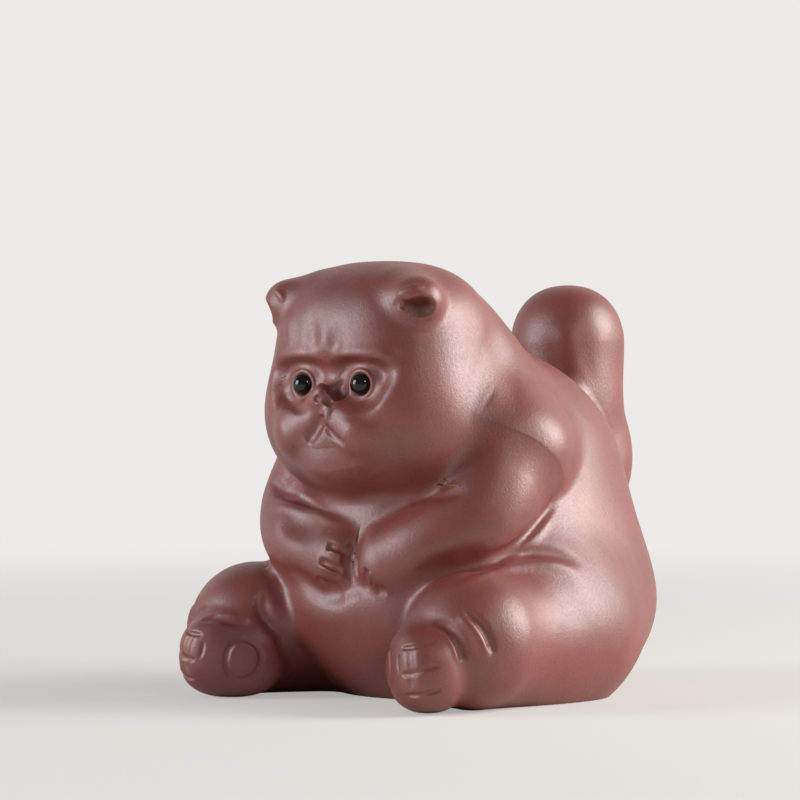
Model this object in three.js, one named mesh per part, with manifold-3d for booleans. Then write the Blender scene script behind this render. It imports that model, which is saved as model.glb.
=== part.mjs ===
// Cat tea pet: a hollow figure of a fat, flat-faced cat in unglazed purple clay.
// It sits upright on a flat base, hands folded on its belly, soles forward, tail up behind it.
// Millimetres, +Z up, the base at z = 0. The face looks along -Y and the cat's left is +X.
//
// Every clay piece starts as a field: a function of a point that gives about how far, in mm,
// the point lies outside the piece, negative inside. Lumps and rolls are blended into one
// field the way soft clay is. castSkin slides the vertices of a sphere along their rays until
// they meet the field's surface. A piece that is luted onto another one is cut by that one
// grown by the slip joint, so that the two faces run side by side.
import * as THREE from "three";
import { mergeVertices } from "three/addons/utils/BufferGeometryUtils.js";
import Module from "manifold-3d";

const wasm = await Module();
wasm.setup();

// Clay walls and joints
const slipJoint = 0.3;
const bodyWall = 4;
const headWall = 4;
const slabThickness = 4;
const ventRadius = 4.5;
const ventSetback = 6;
const neckHoleRadius = 8;
const neckHoleFoot = 34;
const seamY = 31;

// Torso: four lumps pressed into one, widest at the rump. y and z are the lump's middle.
const rump = { width: 74, depth: 73.7, height: 54.8, y: 54.3, z: 19.5 };
const back = { width: 61.3, depth: 75.8, height: 64.1, y: 48.9, z: 42.3 };
const nape = { width: 44.2, depth: 28.8, height: 40.9, y: 34.7, z: 66.2 };
const belly = { width: 72, depth: 57, height: 45, y: 34.5, z: 20.5 };
const torsoBlend = 12;

// Head: a box with round corners, with jowls low at its sides and a dent for each eye
const skull = { width: 45, depth: 38.5, height: 42, y: 20.7, z: 70, squareness: 2.6 };
const jowl = { width: 26, depth: 31, height: 26, spread: 11, y: 18.5, z: 57 };
const jaw = { width: 26, depth: 26, height: 15, y: 16, z: 53.4 };
const headBlend = 10;
const socket = { width: 12, depth: 7, height: 8, out: 1.5, blend: 3 };

// Face
const eye = { radius: 2.45, spread: 7.8, z: 65.3, sunk: 1 };
const eyelid = { radius: 2.9, thickness: 1.8, proud: 0.2 };
const nose = { width: 6.4, depth: 6, height: 5.4, z: 62.4, sunk: 0.8 };
const pad = { sunk: 3.4, nose: { x: 3.3, z: 58.6, radius: 4 }, cheek: { x: 8, z: 55.6, radius: 5.4 } };
const chin = { topRadius: 3, radius: 6, topZ: 54.6, z: 51, sunk: 3.4 };
const ear = { width: 9.6, depth: 8, height: 8.4, y: 10, z: 82.2, sunk: 0.1, turn: 35 };
const earRoot = { radius: 4.2, x: 12, y: 12.5, z: 82.8 };
const earBlend = 3;
const earCup = { width: 6.4, depth: 7, height: 4.4, ahead: 4, below: 0.6 };

// Legs: a ball at the hip and one at the knee, and a foot on its side in front of the knee
const hip = { width: 32, depth: 44, height: 30, y: 43, z: 13, sunk: 12 };
const knee = { radius: 14, spread: 29.5, y: 13, z: 13.8 };
const thighBlend = 10;
const foot = { length: 22, thickness: 15, height: 17.6, squareness: 2.5, spread: 26.4, y: 2.2 };
const toeTurn = 40;
const solePad = { radius: 3.9, thickness: 3, proud: 0.5, heelward: 2.5 };
const toes = { low: 5.4, middle: 10, high: 14.5, ahead: 10, out: 5, reach: 6 };

// Arms: one bent roll from the shoulder over the elbow to the paw
const shoulder = { radius: 12.5, y: 31, z: 50, sunk: 4.5 };
const elbow = { radius: 10, y: 22.5, z: 38.5, sunk: 1.9 };
const wrist = { radius: 8.8, spread: 17, z: 32.5, sunk: 3.5 };
const paw = { radius: 8.6, spread: 6.2, z: 28.8, sunk: 5.2 };
// The paws meet on the cat's left of its middle. The right paw's fingers lie level over the
// belly and the left paw's hang down.
const pawsMeet = 3.4;
const fingers = { length: 6, upper: 31.6, lower: 27.6, inner: 6.2, outer: 8.8 };
const slot = { width: 1.1, depth: 1.2 };

// Tail: a club that stands up behind the rump
const tail = {
  root: { z: 49, radius: 12.5 },
  waist: { z: 64, radius: 10.6 },
  tip: { z: 75.4, radius: 11.6 },
};
const tailBase = { radius: 12.4, ahead: 11, below: 16 };
const tailLean = { waist: 2.8, tip: 3.4 };
const tailProud = 1.2;

// How finely a skin is cut: segments round it, and from pole to pole
const fine = [36, 24];
const medium = [22, 16];
const small = [16, 12];
const limb = [20, 22];
const tapering = [24, 30];
const holeFacets = 24;

// Field of an ellipsoid, or of a box with round corners where the power is over 2.
function lump([cx, cy, cz], { width, depth, height }, power = 2, turn = 0) {
  const c = Math.cos(THREE.MathUtils.degToRad(turn));
  const s = Math.sin(THREE.MathUtils.degToRad(turn));
  return (px, py, pz) => {
    const dx = px - cx;
    const dy = py - cy;
    const x = (Math.abs(dx * c + dy * s) * 2) / width;
    const y = (Math.abs(dy * c - dx * s) * 2) / depth;
    const z = (Math.abs(pz - cz) * 2) / height;
    const reach = (x ** power + y ** power + z ** power) ** (1 / power);
    if (reach < 1e-3) return -Math.min(width, depth, height) / 2;
    const q = power - 1;
    const slope = Math.hypot((x ** q * 2) / width, (y ** q * 2) / depth, (z ** q * 2) / height);
    return ((reach - 1) * reach ** q) / slope;
  };
}

// Field of a clay roll along a smooth curve through knots [x, y, z, radius].
function roll(knots) {
  const axis = new THREE.CatmullRomCurve3(knots.map(([x, y, z]) => new THREE.Vector3(x, y, z)));
  const spans = knots.length - 1;
  const stepsPerSpan = 6;
  const stations = Array.from({ length: spans * stepsPerSpan + 1 }, (_, i) => {
    const span = Math.min(Math.floor(i / stepsPerSpan), spans - 1);
    const part = i / stepsPerSpan - span;
    const radius = THREE.MathUtils.lerp(knots[span][3], knots[span + 1][3], part);
    return [...axis.getPoint(i / (spans * stepsPerSpan)).toArray(), radius];
  });
  return (px, py, pz) => {
    let nearest = Infinity;
    for (let i = 1; i < stations.length; i += 1) {
      const [ax, ay, az, ar] = stations[i - 1];
      const [bx, by, bz, br] = stations[i];
      const dx = bx - ax;
      const dy = by - ay;
      const dz = bz - az;
      const along = (px - ax) * dx + (py - ay) * dy + (pz - az) * dz;
      const t = THREE.MathUtils.clamp(along / (dx * dx + dy * dy + dz * dz), 0, 1);
      const away = Math.hypot(px - ax - dx * t, py - ay - dy * t, pz - az - dz * t);
      nearest = Math.min(nearest, away - THREE.MathUtils.lerp(ar, br, t));
    }
    return nearest;
  };
}

// Two fields joined with a fillet, and the first one dented by the second.
const join = (blend, a, b) => (x, y, z) => {
  const da = a(x, y, z);
  const db = b(x, y, z);
  const h = Math.max(blend - Math.abs(da - db), 0);
  return Math.min(da, db) - (h * h) / (4 * blend);
};
const dent = (blend, a, b) => {
  const joined = join(blend, (x, y, z) => -a(x, y, z), b);
  return (x, y, z) => -joined(x, y, z);
};
const onSide = (side, field) => (side > 0 ? field : (x, y, z) => field(-x, y, z));

// How far a ray from the start goes before it leaves the field at the level.
function rayLength(field, [x, y, z], [dx, dy, dz], level = 0) {
  let inside = 0;
  let outside = 150;
  for (let n = 0; n < 26; n += 1) {
    const middle = (inside + outside) / 2;
    if (field(x + dx * middle, y + dy * middle, z + dz * middle) < level) inside = middle;
    else outside = middle;
  }
  return inside;
}

// Where a piece sits on a field: x beside it, or y before or behind it, less what is sunk in.
const seatX = (field, y, z, sunk) => rayLength(field, [0, y, z], [1, 0, 0]) - sunk;
const seatFront = (field, x, z, sunk) =>
  skull.y - rayLength(field, [x, skull.y, z], [0, -1, 0]) + sunk;
const seatBack = (field, z, sunk) => rump.y + rayLength(field, [0, rump.y, z], [0, 1, 0]) - sunk;

// A closed geometry as a solid that can be cut.
function solid(geometry) {
  const bare = geometry.clone();
  bare.deleteAttribute("normal");
  bare.deleteAttribute("uv");
  const closed = mergeVertices(bare, 1e-4);
  return new wasm.Manifold(
    new wasm.Mesh({
      numProp: 3,
      vertProperties: closed.attributes.position.array,
      triVerts: new Uint32Array(closed.index.array),
    }),
  );
}

// The skin of a field round a middle, at a level: 0 is the face, above it is grown, below it
// is inside the wall. The sphere's poles, where its vertices crowd, lie along the given way.
function castSkin({ field, middle, cuts, poles = [0, 0, 1] }, level = 0) {
  const skin = new THREE.SphereGeometry(1, ...cuts);
  const way = new THREE.Vector3(...poles).normalize();
  skin.applyQuaternion(new THREE.Quaternion().setFromUnitVectors(new THREE.Vector3(0, 1, 0), way));
  const vertices = skin.attributes.position;
  const ray = new THREE.Vector3();
  for (let i = 0; i < vertices.count; i += 1) {
    ray.fromBufferAttribute(vertices, i);
    ray.multiplyScalar(rayLength(field, middle, ray.toArray(), level));
    vertices.setXYZ(i, middle[0] + ray.x, middle[1] + ray.y, middle[2] + ray.z);
  }
  return solid(skin);
}

// What is left of a body after its neighbours are cut out, without loose crumbs.
function trimmed(body, ...neighbours) {
  const cut = neighbours.reduce((rest, neighbour) => rest.subtract(neighbour), body);
  return cut.decompose().reduce((most, crumb) => (crumb.volume() > most.volume() ? crumb : most));
}

const slabBox = (x, y, z, from) => solid(new THREE.BoxGeometry(x, y, z).translate(...from));

// Slots between digits: what thin slices take from a piece's skin within reach of the digits.
function digitSlots(piece, digitsAt, reach, slices) {
  const core = castSkin(piece, -slot.depth);
  const digits = solid(new THREE.SphereGeometry(reach, ...medium).translate(...digitsAt));
  return slices.map((slice) => slice.intersect(digits).subtract(core));
}

const clayMaterial = (colour) =>
  new THREE.MeshStandardMaterial({ color: colour, roughness: 0.48, metalness: 0 });
const clay = "#8d4a42";
const shadedClay = "#7a4a4a";
const glass = "#0c0a0b";

// The finished piece, with its own middle as its origin.
function addPiece(parent, name, body, middle, material) {
  const made = body.getMesh();
  const geometry = new THREE.BufferGeometry();
  geometry.setAttribute("position", new THREE.BufferAttribute(made.vertProperties, 3));
  geometry.setIndex(new THREE.BufferAttribute(made.triVerts, 1));
  geometry.translate(-middle[0], -middle[1], -middle[2]);
  geometry.computeVertexNormals();
  const mesh = new THREE.Mesh(geometry, material);
  mesh.name = name;
  mesh.position.set(...middle);
  parent.add(mesh);
}

// Fields of the torso and the head
const torsoField = [back, nape, belly].reduce(
  (field, part) => join(torsoBlend, field, lump([0, part.y, part.z], part)),
  lump([0, rump.y, rump.z], rump),
);
const cheek = lump([jowl.spread, jowl.y, jowl.z], jowl);
const bareHead = [cheek, onSide(-1, cheek), lump([0, jaw.y, jaw.z], jaw)].reduce(
  (field, part) => join(headBlend, field, part),
  lump([0, skull.y, skull.z], skull, skull.squareness),
);
const socketY = seatFront(bareHead, eye.spread, eye.z, -socket.out);
const socketDent = lump([eye.spread, socketY, eye.z], socket);
const headField = dent(
  socket.blend,
  dent(socket.blend, bareHead, socketDent),
  onSide(-1, socketDent),
);

const frontward = [0, -1, 0];
const torso = { field: torsoField, middle: [0, (rump.y + belly.y) / 2, rump.z], cuts: fine };
const headMiddle = [0, skull.y, (skull.z + jowl.z) / 2];
const head = { field: headField, middle: headMiddle, cuts: fine, poles: frontward };
const torsoGrown = castSkin(torso, slipJoint);
const headGrown = castSkin(head, slipJoint);
const far = 400;
const ground = slabBox(far, far, far, [0, 0, -far / 2]);

const cat = new THREE.Group();
const body = new THREE.Group();
const face = new THREE.Group();
const limbs = new THREE.Group();
cat.add(body, face, limbs);

const addClay = (parent, name, piece, middle, colour) =>
  addPiece(parent, name, piece, middle, clayMaterial(colour));

// Body: a front and a back shell, press-moulded and luted at the seam, with the base let in
// and a hole up into the head
const shell = castSkin(torso).subtract(castSkin({ ...torso, cuts: medium }, -bodyWall));
const neckHoleLength = jowl.z - neckHoleFoot;
const neckHole = new THREE.CylinderGeometry(
  neckHoleRadius,
  neckHoleRadius,
  neckHoleLength,
  holeFacets,
);
neckHole.rotateX(Math.PI / 2).translate(0, skull.y, neckHoleFoot + neckHoleLength / 2);
const bodyShell = shell.subtract(ground).subtract(headGrown).subtract(solid(neckHole));
const behindSeam = slabBox(far, far, far, [0, seamY - slipJoint / 2 + far / 2, 0]);
const beforeSeam = slabBox(far, far, far, [0, seamY + slipJoint / 2 - far / 2, 0]);
addClay(body, "belly_shell", trimmed(bodyShell, behindSeam), [0, belly.y, belly.z], shadedClay);
addClay(body, "back_shell", trimmed(bodyShell, beforeSeam), [0, back.y, back.z], clay);

const plug = castSkin({ ...torso, cuts: medium }, -bodyWall - slipJoint);
const aboveSlab = slabBox(far, far, far, [0, 0, slabThickness + far / 2]);
const vent = new THREE.CylinderGeometry(ventRadius, ventRadius, 3 * slabThickness, holeFacets);
vent.rotateX(Math.PI / 2).translate(0, rump.y + ventSetback, 0);
addClay(body, "base_slab", trimmed(plug, ground, aboveSlab, solid(vent)), [0, rump.y, 0], clay);

// Head: a hollow ball with a neck hole under it
const eyeSeat = [eye.spread, seatFront(headField, eye.spread, eye.z, eye.sunk), eye.z];
const beadCut = (side) => {
  const room = new THREE.SphereGeometry(eye.radius + slipJoint, ...small);
  return room.translate(side * eyeSeat[0], eyeSeat[1], eyeSeat[2]);
};
const headShell = castSkin(head)
  .subtract(castSkin({ ...head, cuts: medium }, -headWall))
  .subtract(solid(neckHole));
const socketed = trimmed(headShell, solid(beadCut(1)), solid(beadCut(-1)));
addClay(face, "head_shell", socketed, headMiddle, clay);

// Face: nose, whisker pads and chin luted on, and a glass bead held by a coil for each eye
const onFace = (x, z, sunk) => [x, seatFront(headField, x, z, sunk), z];
const padKnots = [
  [...onFace(pad.nose.x, pad.nose.z, pad.sunk), pad.nose.radius],
  [...onFace(pad.cheek.x, pad.cheek.z, pad.sunk), pad.cheek.radius],
];
const padAt = padKnots[0].slice(0, 3).map((v, i) => (v + padKnots[1][i]) / 2);
const padPiece = (side) => ({
  field: onSide(side, roll(padKnots)),
  middle: [side * padAt[0], padAt[1], padAt[2]],
  cuts: small,
  poles: frontward,
});
const noseAt = onFace(0, nose.z, nose.sunk);
const nosePiece = { field: lump(noseAt, nose, 2.2), middle: noseAt, cuts: small, poles: frontward };
const chinAt = onFace(0, chin.z, chin.sunk);
const chinRoll = roll([
  [...chinAt, chin.radius],
  [...onFace(0, chin.topZ, chin.sunk), chin.topRadius],
]);
const chinPiece = { field: chinRoll, middle: chinAt, cuts: small, poles: frontward };
const noseGrown = castSkin(nosePiece, slipJoint);
const padsGrown = [1, -1].map((side) => castSkin(padPiece(side), slipJoint));
addClay(face, "nose", trimmed(castSkin(nosePiece), headGrown), noseAt, shadedClay);
const chinBody = trimmed(castSkin(chinPiece), headGrown, torsoGrown, ...padsGrown);
addClay(face, "chin", chinBody, chinAt, clay);

for (const [side, name] of [[1, "left"], [-1, "right"]]) {
  const over = (at) => [side * at[0], at[1], at[2]];
  const acrossMiddle = slabBox(far, far, far, [side * (slipJoint / 2 - far / 2), 0, 0]);

  const padBody = trimmed(castSkin(padPiece(side)), headGrown, noseGrown, acrossMiddle);
  addClay(face, name + "_whisker_pad", padBody, over(padAt), shadedClay);

  const bead = new THREE.SphereGeometry(eye.radius, ...medium).translate(...over(eyeSeat));
  const glassy = new THREE.MeshStandardMaterial({ color: glass, roughness: 0.04, metalness: 0 });
  addPiece(face, name + "_eye", solid(bead), over(eyeSeat), glassy);
  const coil = new THREE.TorusGeometry(eyelid.radius, eyelid.thickness / 2, 8, 24);
  coil.rotateX(Math.PI / 2);
  coil.translate(...over([eyeSeat[0], eyeSeat[1] - eye.sunk - eyelid.proud, eyeSeat[2]]));
  const eyelidBody = trimmed(solid(coil), headGrown, solid(beadCut(side)));
  addClay(face, name + "_eyelid", eyelidBody, over(eyeSeat), shadedClay);

  // The ear: a lobe with a low root that runs up onto the crown, cupped towards the front
  const earX = seatX(headField, ear.y, ear.z, ear.sunk);
  const earAt = [earX, ear.y, ear.z];
  const lobe = lump(earAt, ear, 2, ear.turn);
  const root = roll([
    [...earAt, earRoot.radius],
    [earRoot.x, earRoot.y, earRoot.z, earRoot.radius],
  ]);
  const earTurn = THREE.MathUtils.degToRad(ear.turn);
  const cupAt = [
    earX + Math.sin(earTurn) * earCup.ahead,
    ear.y - Math.cos(earTurn) * earCup.ahead,
    ear.z - earCup.below,
  ];
  const earPiece = {
    field: onSide(side, join(earBlend, lobe, root)),
    middle: over(earAt),
    cuts: medium,
    poles: frontward,
  };
  const cupField = onSide(side, lump(cupAt, earCup, 2, ear.turn));
  const cupPiece = { field: cupField, middle: over(cupAt), cuts: small, poles: frontward };
  const earBody = trimmed(castSkin(earPiece), headGrown, castSkin(cupPiece));
  addClay(face, name + "_ear", earBody, earPiece.middle, clay);

  // Hind leg
  const hipAt = [seatX(torsoField, hip.y, hip.z, hip.sunk), hip.y, hip.z];
  const kneeAt = [knee.spread, knee.y, knee.z];
  const legRoll = roll([[...hipAt, knee.radius], [...kneeAt, knee.radius]]);
  const thigh = {
    field: onSide(side, join(thighBlend, lump(hipAt, hip), legRoll)),
    middle: over([(hipAt[0] + kneeAt[0]) / 2, (hip.y + knee.y) / 2, knee.z]),
    cuts: medium,
    poles: frontward,
  };
  const thighGrown = castSkin(thigh, slipJoint);
  const thighBody = trimmed(castSkin(thigh), torsoGrown, ground);
  addClay(limbs, name + "_thigh", thighBody, thigh.middle, clay);

  // The foot lies on its side: toes outward, the sole towards the front
  const footAt = [foot.spread, foot.y, foot.height / 2];
  const footSize = { width: foot.length, depth: foot.thickness, height: foot.height };
  const footPiece = {
    field: onSide(side, lump(footAt, footSize, foot.squareness, -toeTurn)),
    middle: over(footAt),
    cuts: medium,
    poles: frontward,
  };
  const toeAngle = THREE.MathUtils.degToRad(toeTurn);
  const toeward = [Math.cos(toeAngle), -Math.sin(toeAngle)];
  const outOfSole = [-Math.sin(toeAngle), -Math.cos(toeAngle)];
  const soleDepth = foot.thickness / 2 - solePad.thickness / 2 + solePad.proud;
  const solePadAt = [
    footAt[0] - toeward[0] * solePad.heelward + outOfSole[0] * soleDepth,
    footAt[1] - toeward[1] * solePad.heelward + outOfSole[1] * soleDepth,
    footAt[2],
  ];
  const solePadWidth = 2 * solePad.radius;
  const solePadSize = { width: solePadWidth, depth: solePad.thickness, height: solePadWidth };
  const solePadPiece = {
    field: onSide(side, lump(solePadAt, solePadSize, 2, -toeTurn)),
    middle: over(solePadAt),
    cuts: small,
    poles: frontward,
  };
  const padGrown = castSkin(solePadPiece, slipJoint);
  const toesAt = [
    footAt[0] + toeward[0] * toes.ahead + outOfSole[0] * toes.out,
    footAt[1] + toeward[1] * toes.ahead + outOfSole[1] * toes.out,
    footAt[2],
  ];
  const toeSlices = [toes.low, toes.middle, toes.high].map((z) =>
    slabBox(far, far, slot.width, [0, 0, z]),
  );
  const toeSlots = digitSlots(footPiece, over(toesAt), toes.reach, toeSlices);
  const footCuts = [torsoGrown, thighGrown, padGrown, ground, ...toeSlots];
  const footBody = trimmed(castSkin(footPiece), ...footCuts);
  addClay(limbs, name + "_foot", footBody, footPiece.middle, clay);
  addClay(limbs, name + "_sole_pad", castSkin(solePadPiece), solePadPiece.middle, shadedClay);

  // Arm
  const onFlank = ({ y, z, sunk }) => [seatX(torsoField, y, z, sunk), y, z];
  const onBelly = ({ spread, z, sunk }) => [spread, seatFront(torsoField, spread, z, sunk), z];
  const elbowAt = onFlank(elbow);
  const pawAt = onBelly({ ...paw, spread: paw.spread + side * pawsMeet });
  const armRoll = roll([
    [...onFlank(shoulder), shoulder.radius],
    [...elbowAt, elbow.radius],
    [...onBelly(wrist), wrist.radius],
    [...pawAt, paw.radius],
  ]);
  const forearm = over(pawAt).map((v, i) => v - over(elbowAt)[i]);
  const arm = { field: onSide(side, armRoll), middle: over(elbowAt), cuts: limb, poles: forearm };
  // Slots between fingers go back to a plane as deep as the slot behind the front of the paw
  const slotPlane = (offset) => pawAt[1] - Math.sqrt(paw.radius ** 2 - offset ** 2) + slot.depth;
  const hangingSlot = (x) =>
    slabBox(slot.width, far, far, [x, slotPlane(x - pawAt[0]) - far / 2, 0]);
  const levelAt = pawsMeet - fingers.length / 2;
  const levelSlot = (z) =>
    slabBox(fingers.length, far, slot.width, [levelAt, slotPlane(z - pawAt[2]) - far / 2, z]);
  const fingerSlots =
    side > 0
      ? [fingers.inner, fingers.outer].map(hangingSlot)
      : [fingers.upper, fingers.lower].map(levelSlot);
  const pastMeeting = acrossMiddle.translate([pawsMeet, 0, 0]);
  const armCuts = [torsoGrown, headGrown, thighGrown, pastMeeting, ...fingerSlots];
  const armBody = trimmed(castSkin(arm), ...armCuts);
  addClay(limbs, name + "_arm", armBody, arm.middle, shadedClay);
}

// Tail
const tailY = seatBack(torsoField, tail.root.z, -tailProud);
const tailPiece = {
  field: roll([
    [0, tailY - tailBase.ahead, tail.root.z - tailBase.below, tailBase.radius],
    [0, tailY, tail.root.z, tail.root.radius],
    [0, tailY - tailLean.waist, tail.waist.z, tail.waist.radius],
    [0, tailY - tailLean.tip, tail.tip.z, tail.tip.radius],
  ]),
  middle: [0, tailY - tailLean.waist, (tail.root.z + tail.waist.z) / 2],
  cuts: tapering,
};
addClay(limbs, "tail", trimmed(castSkin(tailPiece), torsoGrown), tailPiece.middle, clay);

// The figure's origin: on the ground, in the middle of its width and its depth
const extent = new THREE.Box3().setFromObject(cat);
cat.position.y = -(extent.min.y + extent.max.y) / 2;

export default cat;
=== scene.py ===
from math import radians

import bpy
import numpy as np
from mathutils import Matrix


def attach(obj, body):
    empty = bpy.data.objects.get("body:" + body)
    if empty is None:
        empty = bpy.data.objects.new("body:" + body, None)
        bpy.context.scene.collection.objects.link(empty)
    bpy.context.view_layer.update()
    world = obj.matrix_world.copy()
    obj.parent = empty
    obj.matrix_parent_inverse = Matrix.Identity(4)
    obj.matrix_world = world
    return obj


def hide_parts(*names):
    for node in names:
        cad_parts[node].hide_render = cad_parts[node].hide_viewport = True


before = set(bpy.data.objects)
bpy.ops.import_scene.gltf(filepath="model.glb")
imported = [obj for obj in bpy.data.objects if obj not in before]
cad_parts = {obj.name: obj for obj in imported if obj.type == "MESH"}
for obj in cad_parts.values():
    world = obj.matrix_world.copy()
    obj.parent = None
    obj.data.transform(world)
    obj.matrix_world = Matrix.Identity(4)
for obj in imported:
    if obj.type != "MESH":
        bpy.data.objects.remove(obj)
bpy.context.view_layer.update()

# Cat tea pet in unglazed purple clay, pressed, luted together, carved while leather-hard,
# burnished and fired, with two black glass beads for eyes.
# Lengths in this file are in mm. The face looks along -Y and the cat's left is +X.
# MOVE_Y takes the modeller's place, where the sizes were set out, to the frame's.
MOVE_Y = -46.0669
MM = 0.001


def lump(centre, size, power=2.0, turn=0.0):
    """Field of an ellipsoid (power 2) or a round-cornered box: (reach - 1) over its slope, in mm,
    negative inside. Its turn is in degrees about the upright axis."""
    half = np.array(size) / 2.0
    c, s = np.cos(radians(turn)), np.sin(radians(turn))

    def field(p):
        dx, dy = p[:, 0] - centre[0], p[:, 1] - centre[1]
        x = np.abs(dx * c + dy * s) / half[0]
        y = np.abs(dy * c - dx * s) / half[1]
        z = np.abs(p[:, 2] - centre[2]) / half[2]
        if power == 2.0:
            reach = np.maximum(np.sqrt(x * x + y * y + z * z), 1e-3)
            slope = np.sqrt((x / half[0]) ** 2 + (y / half[1]) ** 2 + (z / half[2]) ** 2)
            return (reach - 1) * reach / np.maximum(slope, 1e-9)
        q = power - 1.0
        xq, yq, zq = x ** q, y ** q, z ** q
        reach = np.maximum((xq * x + yq * y + zq * z) ** (1.0 / power), 1e-3)
        slope = np.sqrt((xq / half[0]) ** 2 + (yq / half[1]) ** 2 + (zq / half[2]) ** 2)
        return (reach - 1) * reach ** q / np.maximum(slope, 1e-9)

    return field


def spans_of(knots):
    """Cubic coefficients (span, power, x y z radius) of a centripetal Catmull-Rom curve through knots."""
    knots = np.array(knots, float)
    ends = np.vstack([2 * knots[0] - knots[1], knots, 2 * knots[-1] - knots[-2]])
    rows = []
    for i in range(len(knots) - 1):
        a, b, c, d = ends[i:i + 4]
        g = [max(np.linalg.norm(v[:3]), 1e-4) ** 0.5 for v in (b - a, c - b, d - c)]
        t1 = ((b - a) / g[0] - (c - a) / (g[0] + g[1]) + (c - b) / g[1]) * g[1]
        t2 = ((c - b) / g[1] - (d - b) / (g[1] + g[2]) + (d - c) / g[2]) * g[1]
        rows.append([b, t1, 3 * (c - b) - 2 * t1 - t2, 2 * (b - c) + t1 + t2])
    return np.array(rows)


def smooth_path(knots, steps):
    """Points on that curve, steps to a span. The radius in column 3 runs along with it."""
    t = np.arange(steps) / steps
    powers = np.stack([t ** 0, t, t ** 2, t ** 3], 1)
    rows = [powers @ span for span in spans_of(knots)]
    return np.vstack(rows + [np.array(knots[-1:], float)])


def along_path(p, path):
    """Nearest distance from each point to a path of x, y, z, radius, less the radius there, and how far
    along the path that is, 0 to 1."""
    a, e = path[:-1, :3], np.diff(path[:, :3], axis=0)
    length2 = np.maximum((e * e).sum(1), 1e-12)
    we = p @ e.T - (a * e).sum(1)
    ww = (p * p).sum(1)[:, None] - 2 * (p @ a.T) + (a * a).sum(1)
    t = np.clip(we / length2, 0, 1)
    away = np.sqrt(np.maximum(ww - 2 * t * we + t * t * length2, 0)) - path[:-1, 3] - t * np.diff(path[:, 3])
    nearest = away.argmin(1)
    row = np.arange(len(p))
    return away[row, nearest], (nearest + t[row, nearest]) / len(e)


def roll(knots, steps=4):
    """Field of a clay roll along a smooth curve c(t) through knots x, y, z, radius: the distance to the
    nearest point of the curve, found by Newton's steps from its chords, less the radius there."""
    spans, path = spans_of(knots), smooth_path(knots, steps)

    def on_curve(along):
        span = np.minimum(along.astype(int), len(spans) - 1)
        return spans[span], (along - span)[:, None]

    def field(p):
        along = along_path(p, path)[1] * len(spans)
        for _ in range(2):
            c, t = on_curve(along)
            c = c[:, :, :3]
            away = p - (c[:, 0] + t * (c[:, 1] + t * (c[:, 2] + t * c[:, 3])))
            slope = c[:, 1] + t * (2 * c[:, 2] + 3 * t * c[:, 3])
            bend = 2 * c[:, 2] + 6 * t * c[:, 3]
            run = (slope * slope).sum(1)
            step = (away * slope).sum(1) / np.maximum(run - (away * bend).sum(1), 0.3 * run)
            along = np.clip(along + np.clip(step, -0.5, 0.5), 0, len(spans))
        c, t = on_curve(along)
        at = c[:, 0] + t * (c[:, 1] + t * (c[:, 2] + t * c[:, 3]))
        return np.sqrt(((p - at[:, :3]) ** 2).sum(1)) - at[:, 3]

    return field


def joined(a, b, blend):
    """Two field values run together with a fillet as wide as blend."""
    h = np.maximum(blend - np.abs(a - b), 0)
    return np.minimum(a, b) - h * h / (4 * blend)


def dented(a, b, blend):
    """The first field value with the second one's hollow pressed into it."""
    return -joined(-a, b, blend)


def ease(t):
    """0 below 0, 1 above 1, and a smooth step between them."""
    t = np.clip(t, 0, 1)
    return t * t * (3 - 2 * t)


def ray_length(field, start, way, far=150.0, halvings=30):
    """How far rays go before they leave the field: halving the span that holds the exit."""
    start, way = np.atleast_2d(start).astype(float), np.atleast_2d(way).astype(float)
    near = np.zeros(len(way))
    out = np.full(len(way), far)
    for _ in range(halvings):
        mid = (near + out) / 2
        inside = field(start + way * mid[:, None]) < 0
        near = np.where(inside, mid, near)
        out = np.where(inside, out, mid)
    return near


# Each form of the body and head: its middle and its size
RUMP = ((0, 54.3, 19.5), (74, 73.7, 54.8))
BACK = ((0, 48.9, 42.3), (61.3, 75.8, 64.1))
NAPE = ((0, 34.7, 66.2), (44.2, 28.8, 40.9))
BELLY = ((0, 34.5, 20.5), (72, 57, 45))
SKULL = ((0, 20.7, 70), (45, 38.5, 42))
JOWL = ((11, 18.5, 57), (26, 31, 26))
JAW = ((0, 16, 53.4), (26, 26, 15))
SOCKET = (12, 7, 8)
EYE_X, EYE_Z, EYE_RADIUS, EYE_SUNK = 7.8, 65.3, 2.45, 1.0
HEAD_Y = 20.7
HEAD_MIDDLE = (0, HEAD_Y, 63.5)
# Where the two body shells meet, the base slab's edge inside the body's skin, and its ventilation hole
SEAM_Y = 31.0
SLAB_EDGE, SLAB_INSET = -4.1, 0.3
VENT_AT = (0.0, 60.0)
# How wide the forms of the body, the head and its sockets run into each other
BODY_BLEND, HEAD_BLEND, SOCKET_BLEND = 12.0, 10.0, 3.0

torso_lumps = [lump(*RUMP), lump(*BACK), lump(*NAPE), lump(*BELLY)]
skull, jowl, jaw = lump(*SKULL, power=2.6), lump(*JOWL), lump(*JAW)
MIRROR = np.array([-1.0, 1.0, 1.0])


def on_side(place, side):
    """A place on the cat's left, taken to its right where side is under 0."""
    return place * (MIRROR if side < 0 else 1.0)


def torso(p):
    """The body without its limbs."""
    d = torso_lumps[0](p)
    for part in torso_lumps[1:]:
        d = joined(d, part(p), BODY_BLEND)
    return d


def bare_head(p):
    """The head before its eye sockets are pressed in."""
    d = joined(skull(p), jowl(p), HEAD_BLEND)
    d = joined(d, jowl(p * MIRROR), HEAD_BLEND)
    return joined(d, jaw(p), HEAD_BLEND)


def front_of(field, x, z, sunk=0.0):
    """The point on the front of a field at x and z, sunk into it."""
    reach = ray_length(field, (x, HEAD_Y, z), (0, -1, 0))[0]
    return np.array([x, HEAD_Y - reach + sunk, z])


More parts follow.
